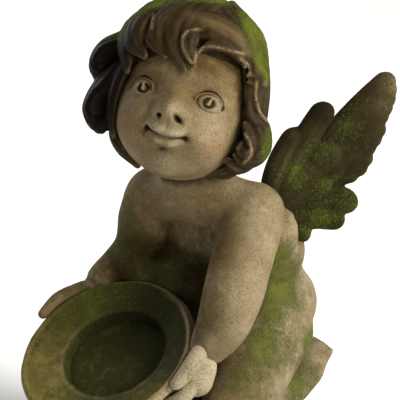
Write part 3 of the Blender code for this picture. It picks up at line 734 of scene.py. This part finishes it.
bodyLook = dict(
    grain=0.00146, softening=8, moreSoftening=34,
    pelvis=(5.4, 23.2, 25.4), waist=(4.0, 21.4, 33.0), chest=(2.0, 11.0, 43.0), back=(6.3, 20.4, 38.2),
    belly=(-1.4, 6.2, 30.0), neck=(1.2, 3.4, 53.6),
    shoulders={"left": (13.6, 9.3, 49.6), "right": (-10.8, 3.6, 50.0)},
    blades={"left": (10.8, 17.4, 44.0), "right": (-5.6, 15.0, 44.0)},
    elbows={"left": (20.0, -3.6, 35.4), "right": (-14.4, 1.4, 38.4)},
    hips={"left": (10.4, 19.2, 20.6), "right": (-3.0, 19.2, 20.2)},
    knees={"left": (16.0, -1.2, 6.2), "right": (-12.4, -4.6, 6.2)},
    ankles={"left": (11.6, 25.0, 5.6), "right": (-5.8, 24.4, 4.0)},
    toes={"left": (11.0, 34.2, 12.4), "right": (-5.4, 34.0, 10.2)},
    fuller={"left": 0.7, "right": 0.0}, folds={"left": 6.6, "right": 5.1},
    navel=(-3.5, -4.8, 30.5),
    creases=[  # path, width and depth: at the armpit, round the neck, at the groin and down the spine
        ([(12.5, -3.6, 36.0), (15.5, -2.0, 40.2), (19.6, 1.0, 41.4)], 1.2, 0.35),
        ([(-9, -6.0, 58), (1, -8.5, 55.5), (10, -3.0, 57.5)], 1.0, 0.5),
        ([(9.5, 1.0, 28.2), (15.0, 9.0, 28.6), (16.5, 18.0, 29.4)], 1.4, 0.7),
        ([(5.4, 27.6, 22), (5.6, 32.0, 30), (5.8, 30.0, 42), (5.4, 24.0, 50)], 1.6, 0.6)],
    # patches: a spot, its radius in units and its strength
    moss=[(-12.6, -3.9, 46.3, 5, 0.6), (-14.7, -4.5, 40.3, 5, 0.6), (-16, -8.9, 33.5, 5, 0.35),
          (-6.6, -2.5, 34.1, 6, 0.55), (3.4, -3, 32.9, 6, 0.35), (4.9, 1.7, 42.4, 6, 0.4), (18.9, -10, 36.4, 4, 0.3),
          (19.4, -11, 32, 4, 0.4), (15.6, 15.7, 39.5, 4.5, 0.85), (14.3, 17.9, 32.4, 6, 1.1),
          (16.6, 12.0, 29, 5, 1.2), (17.8, 7.9, 21.1, 6, 0.95), (0, -4, 36, 9, 0.45), (-8, -4, 38, 7, 0.4),
          (20.3, 12.6, 19.4, 5, 0.6), (18.9, 21.6, 18.2, 4, 0.9), (17.5, 20.5, 15, 5, 0.9), (15.0, 20.0, 9, 6, 0.9),
          (13.1, 25.5, 8.8, 5, 0.7), (13.9, 32.1, 11, 2.6, 0.35), (13.9, 26, 29, 5, 0.4), (8, 30, 34, 8, 0.45),
          (2, 20, 50, 7, 0.6), (6, 28, 22, 7, 0.6), (16, 16, 52, 5, 0.7), (-10, 14, 40, 6, 0.5),
          (-6, 24, 30, 8, 0.55), (-12, 6, 14, 6, 0.5), (0, 10, 22, 9, 0.7), (14, 6, 6, 6, 0.5),
          (19, 2, 14, 7, 0.6)],
    # painted shade: in the lap, between the arms and the chest, on the near arm's inner side and under the dish
    lapShade=[(-4, -3, 33, 9, 1.1), (4, -3, 31, 9, 1.1), (-10, -3, 36, 7, 1.0), (10, 2, 30, 7, 0.9), (8, -4, 24, 7, 0.8),
         (11.5, -5, 36, 4, 0.7), (12.5, -2.5, 42, 4, 0.4), (15.0, -8.0, 35.5, 4, 0.5), (15.8, -12.2, 28.5, 4, 0.5)],
    stainAndShade=[(15, -3, 42, 6, 0.9), (18, -10, 33, 5, 0.5), (10, -2, 53, 6, 0.4), (0, 0, 47, 11, 0.25),
           (-9, -4, 40, 8, 0.4), (19, 2, 13, 8, 0.5)],
    # pale patches painted as highlights on the elbow, the flank, the back and the hip
    wearAndHighlight=[(23, -3, 37, 5, 0.25), (18, 15, 31, 5, 0.6), (13, 26, 30, 5, 0.4), (19, 10, 12, 6, 0.3)])

dishLook = dict(centre=(-2.3, -19.9, 21.8), tilt=35.9, turn=13.8, radius=0.0675, depth=0.026, wall=0.009,
                recess=0.0385, recessDepth=0.009, offset=(0.003, 0.004), columns=260,
                moss=[(-13.6, -11.1, 28.7, 9, 0.95), (8.1, -9.2, 26.2, 8, 0.5), (-15.9, -20, 22, 7, 0.6),
                      (-5, -8, 31, 9, 0.45), (-5.8, -30, 13.1, 6, 0.40), (6, -26, 15, 8, 0.4)],
                shade=[(8, -12, 24, 12, 1.0), (0, -9, 29, 13, 1.2), (-5, -9, 31, 9, 0.9), (4, -24, 17, 10, 0.85),
                       (-8, -9, 29, 6, 0.5)])
dishTurn = turned(dishLook["turn"], "z") @ turned(dishLook["tilt"], "x")
grips = {"left": 2, "right": 141}  # degrees round the rim, from the figure's left towards its chest


def onRim(degrees, out=0.0, down=0.0):
    angle = math.radians(degrees)
    radius = dishLook["radius"] + out * unit
    spot = np.array([radius * math.cos(angle), radius * math.sin(angle), -down * unit])
    return place(dishLook["centre"]) + dishTurn @ spot


def wristOf(side):
    if side == "left":
        return onRim(grips["left"] + 10, out=1.2, down=4.4)
    return onRim(grips["right"] - 13, out=1.4, down=2.8)


def between(a, b, share):
    return a + (b - a) * share


def bodySkins():
    look = bodyLook
    skins = [egg(place(look["pelvis"]), (11.2, 10.8, 10.0)), egg(place(look["waist"]), (9.6, 9.8, 10.5)),
             egg(place(look["belly"]), (12.8, 10.6, 12.0)),
             egg(place(look["chest"]), (12.0, 10.0, 10.6), turned(16, "z")),
             egg(place(look["back"]), (9.6, 9.0, 10.0)),
             sweep([place(look["neck"]), place(headLook["centre"])], (7.2, 6.6)),
             sweep([place((-11.5, -2.5, 35.0)), place((-7.0, 0.5, 31.0)), place((-4, 2, 26))], (4.2, 5.0, 6.0))]
    for side in sides:
        joints = ("shoulders", "elbows", "hips", "knees", "ankles", "toes")
        shoulder, elbow, hip, knee, ankle, toe = (place(look[key][side]) for key in joints)
        wrist, fold = wristOf(side), look["folds"][side]
        skins += [egg(place(look["blades"][side]), (6.8, 6.4, 8.0)),
                  sweep([shoulder, place(look["neck"])], (6.4, 6.6)),
                  sweep([shoulder, between(shoulder, elbow, 0.55), elbow], (7.2, 6.8, fold)),
                  sweep([elbow, between(elbow, wrist, 0.45)
                         + look["fuller"][side] * np.array([0.7, 0.7, -0.3]) * unit,
                         between(elbow, wrist, 0.8), wrist],
                        (fold, fold * (0.86 + 0.04 * look["fuller"][side]), 4.3, 3.2)),
                  sweep([hip, between(hip, knee, 0.5), knee], (9.4, 8.8, 6.6)),
                  sweep([knee, between(knee, ankle, 0.55), ankle], (6.0, 5.4, 3.8)),
                  sweep([ankle, between(ankle, toe, 0.5), between(ankle, toe, 0.9)], (3.9, 4.3, 3.0))]
        ahead = unitLength(toe - ankle)
        for k in range(5):  # toes side by side, the big one inside
            spread = np.array([(2 - k) * 1.6 * -sides[side], 0, 0]) * unit
            skins.append(sweep([between(ankle, toe, 0.8) + spread * 0.8,
                                toe + spread + ahead * (1.9 - 0.3 * k) * unit],
                               (1.5, 1.3 - 0.1 * k), 16, 8))
    return skins


def makeBody():
    look = bodyLook
    points, quads = fuse(bodySkins(), look["grain"])
    edges = edgesOf(quads)
    points = soften(points, edges, look["softening"])
    keep = patches(points, [(*look["toes"][side], 7, 1.0) for side in sides])[:, None]
    points = points * keep + soften(points, edges, look["moreSoftening"]) * (1 - keep)
    rise = np.zeros(len(points))
    grimeAndShade = np.zeros(len(points))
    normal = normalsOf(points, quads)
    # each crease is cut in and darkened with painted shade
    for path, width, depth in look["creases"]:
        near = fade(nearPath(points, [place(spot) for spot in path]), width * unit)
        rise -= depth * near
        grimeAndShade += 0.7 * near
    for side, strength in (("left", 1.0), ("right", 0.35)):  # a fold right round each wrist
        wrist, elbow = wristOf(side), place(look["elbows"][side])
        axis = unitLength(elbow - wrist)
        around = (points - wrist - axis * 0.8 * unit) / unit
        along = around @ axis
        ring = fade(along, 0.55) * ramp(-np.linalg.norm(around, axis=1), -6.5, -5.5)
        rise -= 0.5 * strength * ring
        # the fold is darkened with painted shade
        grimeAndShade += 0.75 * strength * ring
    rise -= fade(distance(points, place(look["navel"])), 1.3 * unit)
    rise += 0.10 * lumps(points, 0.020, 2) + 0.05 * lumps(points, 0.005, 7)
    points = points + normal * (rise * unit)[:, None]
    deep = hollows(points, quads, 70, unit * 1.2)
    cut = hollows(points, quads, 6, unit * 0.12)
    moss = patches(points, look["moss"]) * (0.85 + 0.3 * lumps(points, 0.012, 8)) + 0.08 * lumps(points, 0.03, 15)
    underHead = distance(points, place(headLook["centre"])) / unit
    # painted shade in the lap and between the parts, a painted shadow under the chin, dirt and painted shade in the
    # hollows, and darker towards the bottom by the slab
    grimeAndShade += 1.1 * patches(points, look["lapShade"]) + 0.75 * ramp(-underHead, -17.0, -14.0)
    grimeAndShade += 0.5 * positive(deep) + 0.2 * positive(cut)
    grimeAndShade += 0.35 * ramp(-points[:, 2], -slabTop - 12 * unit, -slabTop)
    # stains, brown in the hollows as dirt and painted shade, and browner towards the figure's right side
    stainAndShade = 0.22 + 0.3 * lumps(points, 0.03, 12) + 0.4 * positive(deep) + 0.25 * ramp(-points[:, 0], 0.0, 0.05)
    stainAndShade += patches(points, look["stainAndShade"])
    points = points + normal * mossHeight(points, moss, size=0.004, least=0.4)[:, None]
    # rubbed on the rounded edges, with the pale patches of painted highlight
    marks = dict(grimeAndShade=grimeAndShade, moss=moss, stainAndShade=stainAndShade,
                 wearAndHighlight=0.35 * positive(-deep) ** 2 + patches(points, look["wearAndHighlight"]))
    return finish("angelBody", points, quads, marks, castStone)


makeBody()

handLook = dict(grain=0.0008, softening=5, moss=[(20.5, -15.4, 21.1, 4, 0.25), (-17, -12, 29, 6, 0.5)])


def handSkins(side):
    # a palm outside the dish, a thumb along its wall and four fingers that curl under it
    forward = -1 if side == "left" else 1

    def at(turn, out, down):
        return onRim(grips[side] + forward * turn, out, down)

    behind = 1.0 if side == "right" else 0.0  # the right palm lies lower behind the rim
    palm = (2.9, 3.2, 3.5) if side == "left" else (2.3, 2.0, 2.4)
    skins = [sweep([at(-9, 1.8 - behind * 0.4, 3.8 - behind * 0.4), at(-4, 2.0 - behind, 3.8),
                    at(3, 1.8 - behind, 4.4 + behind)], palm),
             sweep([at(-8, 2.0, 0.4 + behind), at(4 + 4 * behind, 1.6, 0.2),
                    at(15 + 7 * behind, 0.8, 0.5 - 0.6 * behind)],
                   (1.9 - 0.3 * behind, 2.0 - 0.4 * behind, 1.4 - 0.2 * behind))]
    for finger in range(4):
        back, drop, inward = 2.4 * finger, 1.35 * finger, 1.2 * finger
        inward += behind * 1.2
        skins.append(sweep([at(5 - back, 2.3 - inward, 3.4 + drop), at(16 - back, 1.4 - inward, 4.2 + drop),
                            at(24 - back, -0.8 - inward, 5.0 + drop)], (1.8, 1.7, 1.4)))
    return skins


def makeHands():
    points, quads = fuse(handSkins("left") + handSkins("right"), handLook["grain"])
    points = soften(points, edgesOf(quads), handLook["softening"])
    cut = hollows(points, quads, 20, unit * 0.3)
    points = raised(points, quads, 0.05 * lumps(points, 0.004, 3) * unit)
    moss = patches(points, handLook["moss"])
    far = ramp(-points[:, 0], 0, 0.02)  # the far hand is browner
    nail = fade(distance(points, onRim(grips["right"] + 22, 0.8, -0.1)), 2.2 * unit)
    # dirt and painted shade in the hollows; the near hand painted pale, partly rubbed and partly a painted highlight;
    # the far hand darker and browner; a reddish nail
    marks = dict(grimeAndShade=0.9 * positive(cut) + 0.25 * far, moss=moss, stainAndShade=0.4 * positive(cut) + 0.7 * far,
                 wearAndHighlight=(0.6 + 0.3 * positive(-cut)) * (1 - 0.8 * far), blushAndSheen=0.8 * nail + 0.3 * far)
    return finish("angelHands", points, quads, marks, castStone)


makeHands()

wingLook = dict(
    grain=0.0010, softening=5, sweep=50, roots={"left": (13.0, 19.0, 48.6), "right": (-10.0, 16.0, 48.6)},
    moss=[(16.9, 18.8, 57.2, 4, 0.85), (20.3, 23.1, 62.6, 4.5, 0.7), (23.9, 28.7, 66.7, 5, 0.65),
          (24.6, 30.6, 71.0, 4, 0.55), (22.1, 29.6, 49.4, 5, 0.8), (20.1, 23.7, 46.7, 5, 0.85),
          (19.5, 25.0, 54.0, 5, 0.7), (18.0, 24.0, 44.0, 4, 0.8)],
    # pale patches are painted highlights on the leading edge and tip; dark patches are painted shade
    pale=[(28.7, 37.6, 76.2, 2.6, 0.55), (27.2, 36.0, 72.0, 2.0, 0.4), (13.0, 19.5, 58.0, 4.0, 0.35)],
    dark=[(14.5, 21.5, 62.0, 6, 0.2), (18.6, 25.6, 71.0, 5, 0.6), (22.4, 30.0, 46.0, 4, 0.35)])

# feathers in the wing's plane, outwards and up from its root: start, tip, width, thickness and layer
feathers = [
    ((1, 3), (18.6, 17.0), 15.0, 2.6, 0.0),
    ((5, 9), (24.2, 29.8), 7.8, 2.4, -0.4), ((5, 9), (24.6, 27.8), 7.4, 2.4, -0.4),
    ((5, 8), (24.4, 25.7), 7.0, 2.4, -0.3),
    ((5, 7), (23.8, 23.7), 7.0, 2.4, -0.3), ((4, 6), (23.0, 21.8), 7.0, 2.4, -0.2),
    ((4, 5), (22.4, 19.0), 7.6, 2.4, 0.3), ((4, 5), (21.6, 16.9), 7.6, 2.4, 0.3),
    ((3, 4), (20.4, 14.8), 7.4, 2.4, 0.3),
    ((3, 3), (19.9, 12.2), 7.6, 2.6, -0.2), ((3, 3), (18.8, 10.0), 7.6, 2.6, -0.2),
    ((2, 3), (16.8, 7.9), 6.4, 2.6, -0.2),
    ((0, 0), (16.9, 1.8), 9.4, 3.0, 0.3), ((0, -2), (14.0, -2.4), 9.0, 3.0, 0.6),
    ((0, -3), (6.2, -6.6), 7.0, 2.8, 0.3),
    ((0, 5), (10.0, 24.0), 8.6, 3.8, 0.9), ((-3.4, 2.2), (4.0, 18.4), 9.0, 4.6, 0.4),
    ((-3, 0), (12.4, 14.4), 9.6, 4.0, 0.8), ((-3, -1), (10.8, 6.6), 9.8, 4.2, 0.6),
]


def featherSkin(side, start, tip, width, thickness, layer):
    # a blade: half width w/2 s^0.3 sqrt(1 - t^2) (1 - 0.38 s), with t rising from 0 to 1 over a last stretch
    # a third of the width long, so the tip is round; a lens across, a raised shaft and fine slanting barbs
    mirror = sides[side]
    angle = math.radians(wingLook["sweep"])
    out = np.array([math.cos(angle) * mirror, math.sin(angle), 0])
    up = np.array([0, 0, 1.0])
    through = np.cross(out, up) * mirror
    first, last = (place(wingLook["roots"][side]) + (out * end[0] + up * end[1] + through * layer) * unit
                   for end in (start, tip))
    along = unitLength(last - first)
    across = np.cross(through, along)
    length = np.linalg.norm(last - first) / unit
    s = (1 - np.cos(np.arange(1, 90) / 90 * math.pi))[:, None] / 2
    phi = (np.arange(72) / 72 * math.tau)[None, :]
    blunt = np.sqrt(1 - np.clip((s * length - length + width * 0.32) / (width * 0.32), 0, 1) ** 2)
    half = s ** 0.3 * blunt * width / 2 * (1 - 0.38 * s)
    sideways = half * np.cos(phi)
    shaft = fade(sideways, 0.4) * np.sin(math.pi * s)
    barbs = np.cos((s * length + np.abs(sideways) * 0.9) * math.tau / 1.1)
    barbs = barbs * (1 - shaft) * ramp(np.abs(np.sin(phi)), 0.2, 0.6)
    thick = np.sin(phi) * (blunt * thickness / 2 + 0.05 * barbs + 0.3 * shaft)
    bend = 0.8 * np.sin(math.pi * s)
    grid = first + ((s * length)[..., None] * along + (sideways + bend)[..., None] * across
                    + thick[..., None] * through) * unit
    return closedSkin(grid, first, last)


def makeWing(side):
    points, quads = fuse([featherSkin(side, *feather) for feather in feathers], wingLook["grain"])
    points = soften(points, edgesOf(quads), wingLook["softening"], 0.5)
    cut = hollows(points, quads, 8, unit * 0.2)
    deep = hollows(points, quads, 50, unit * 0.9)
    spots = wingLook["moss"]
    if side == "right":
        spots = [(6 - x, y - 3, z, radius, strength) for x, y, z, radius, strength in spots]  # mirrored at x = 3
    moss = patches(points, spots) * (0.85 + 0.3 * lumps(points, 0.008, 6)) - 0.2 * positive(cut)
    # dirt and painted shade in the hollows, painted shade in the dark patches, painted highlights in the pale ones
    # and rubbed sharp edges
    pale, dark = patches(points, wingLook["pale"]), patches(points, wingLook["dark"])
    marks = dict(grimeAndShade=0.6 * positive(cut) + 0.5 * positive(deep) + dark, moss=moss,
                 wearAndHighlight=0.45 * positive(-cut) ** 1.5 + pale, stainAndShade=0.4 * positive(deep))
    points = raised(points, quads, mossHeight(points, moss))
    return finish("angelWing" + side.capitalize(), points, quads, marks, darkWing)


for side in sides:
    makeWing(side)


def makeDish():
    # a profile of radius and height turned on the dish's axis, with its corners rounded and its wall a little uneven
    look = dishLook
    outer, lip, recess = look["radius"], look["wall"] / 2, look["recess"]
    depth, rim = look["depth"], outer - lip
    drop = depth - look["wall"] - look["recessDepth"]
    bottom = -drop - look["recessDepth"]
    profile = np.array([(0.002, bottom), (recess * 0.6, bottom), (recess - 0.0015, bottom + 0.0002),
                        (recess, bottom + 0.0015), (recess + 0.0003, -drop - 0.001), (recess + 0.0012, -drop),
                        (recess + 0.004, -drop * 0.92), ((recess + rim) / 2, -drop * 0.55), (rim - 0.002, -0.002),
                        (rim, -0.0005), (rim + lip * 0.4, 0.0003), (outer - lip * 0.3, -lip * 0.3), (outer, -lip),
                        (outer - lip * 0.2, -lip * 1.7), (outer * 0.93, -depth * 0.42), (outer * 0.8, -depth * 0.70),
                        (outer * 0.55, -depth * 0.98), (outer * 0.3, -depth), (0.002, -depth)])
    line = smoothLine(np.column_stack([profile, np.zeros(len(profile))]), 160)[0][:, :2]
    u = np.arange(look["columns"]) / look["columns"] * math.tau
    grid = np.stack([line[:, :1] * np.cos(u), line[:, :1] * np.sin(u), np.repeat(line[:, 1:], len(u), 1)], axis=-1)
    shift = (ramp(-line[:, 0], -rim, -recess) * ramp(line[:, 1], -0.0225, -0.0205))[:, None, None]
    grid = grid + shift * np.array([look["offset"][0], look["offset"][1], 0])
    flat = grid.reshape(-1, 3)
    fromAxis = ramp(np.hypot(flat[:, 0], flat[:, 1]), 0.003, 0.014)  # the roughness fades out towards the axis
    rough = (0.0007 * lumps(flat, 0.022, 3) + 0.00025 * lumps(flat, 0.004, 6)) * fromAxis
    toAxis = unitLength(flat * [1, 1, 0])
    flat = flat + toAxis * rough[:, None] + np.array([0, 0, 1]) * (0.0003 * lumps(flat, 0.006, 8) * fromAxis)[:, None]
    poles = np.array([[look["offset"][0], look["offset"][1], profile[0, 1]], [0, 0, profile[-1, 1]]])
    toWorld = lambda spots: place(look["centre"]) + spots @ dishTurn.T
    points, quads, triangles = closedSkin(toWorld(flat).reshape(grid.shape), *toWorld(poles))
    local = np.concatenate([poles[:1], flat, poles[1:]])
    fromRecess = np.hypot(local[:, 0] - look["offset"][0], local[:, 1] - look["offset"][1])
    radius, height = np.hypot(local[:, 0], local[:, 1]), local[:, 2]
    upper = ramp(height, -0.0225, -0.0205) * ramp(-radius, -rim - 0.003, -rim)
    inside = ramp(-fromRecess, -recess - 0.0022, -recess - 0.0002) * upper
    lip = fade(fromRecess - recess - 0.0032, 0.0014) * upper
    # painted shade on the dish's upper face where the arms, hands and chest shade it
    shade = patches(points, look["shade"]) * upper
    bare = ramp(radius, outer - 0.0075, outer - 0.0035) * fade(np.arctan2(local[:, 1], local[:, 0]) - 0.35, 0.8)
    shade = shade * (1 - 0.85 * bare)  # the rim's edge between the near hand and the chest is rubbed bare
    # dirt and painted shade: a little in the recess, the painted shade, and a dark ring at the recess's edge
    grimeAndShade = 0.10 * inside + 0.58 * shade + 0.35 * fade(fromRecess - recess + 0.001, 0.0018) * upper
    moss = patches(points, look["moss"]) * (0.85 + 0.4 * lumps(points, 0.010, 14))
    moss = moss * (1 - 0.75 * inside) * (1 - 0.35 * shade) * (1 - 0.9 * bare) + 0.15 * inside
    # the recess is stained dark, and the painted shade is laid on as brown too
    stainAndShade = 2.0 * inside + 1.1 * shade + 0.1 + 0.25 * lumps(points, 0.02, 4) * (1 - inside)
    # a pale lip round the recess as a painted highlight; the outer wall below the rim and the bare edge are rubbed
    # pale
    wearAndHighlight = 0.35 * lip * (1 - 0.8 * shade) + 0.6 * ramp(radius, outer - 0.003, outer) * (1 - upper) + 0.75 * bare
    marks = dict(grimeAndShade=grimeAndShade, moss=moss, stainAndShade=stainAndShade, wearAndHighlight=wearAndHighlight, blushAndSheen=0.6 * bare)
    return finish("angelDish", points, quads, marks, dampDish, triangles)


makeDish()

baseLook = dict(length=0.232, width=0.184, edge=0.006, grain=0.0017)


def makeBase():
    # the slab is an oval with a rounded top edge; the mound under the dish is swept out of it
    look = baseLook
    profile = np.array([(0.01, 0.0), (0.5, 0.0), (0.97, 0.0), (1.0, 0.002), (1.0, slabTop - look["edge"]),
                        (1 - 0.3 * look["edge"] / 0.1, slabTop - 0.3 * look["edge"]),
                        (1 - look["edge"] / 0.1, slabTop), (0.5, slabTop), (0.01, slabTop)])
    share = np.linspace(0, len(profile) - 1, 90)
    radius, height = (np.interp(share, np.arange(len(profile)), column)[:, None] for column in profile.T)
    u = (np.arange(200) / 200 * math.tau)[None, :]
    grid = np.stack([radius * np.cos(u) * look["width"] / 2, radius * np.sin(u) * look["length"] / 2,
                     height * np.ones_like(u)], axis=-1)
    slab = closedSkin(grid, np.array([0, 0, 0.0]), np.array([0, 0, slabTop]))
    under = place(dishLook["centre"]) - dishTurn @ np.array([0, 0, dishLook["depth"] + 7 * unit])
    foot = np.array([under[0], under[1], slabTop * 0.4 + 11 * unit])
    skins = [slab, sweep([under, foot], (9, 11)), sweep([under, place((-3.0, 4.0, 15.0))], (8, 12))]
    points, quads = fuse(skins, look["grain"])
    points = soften(points, edgesOf(quads), 4)
    above = ramp(points[:, 2], 0.002, 0.008)
    rise = (0.0012 * lumps(points, 0.018, 5) + 0.0006 * lumps(points, 0.005, 6)) * above
    points = raised(points, quads, rise)
    points[:, 2] = np.where(points[:, 2] < 0.0012, 0, points[:, 2])
    deep = hollows(points, quads, 50, 0.0025)
    moss = 0.55 + 0.45 * lumps(points, 0.03, 9) - 0.3 * ramp(-points[:, 2], -0.012, -0.002)
    # dirt all over, with more dirt and painted shade in the hollows
    marks = dict(grimeAndShade=0.35 + 0.5 * positive(deep), moss=moss * 0.85, stainAndShade=0.6 + 0.3 * lumps(points, 0.02, 2))
    return finish("angelBase", points, quads, marks, castStone)


makeBase()
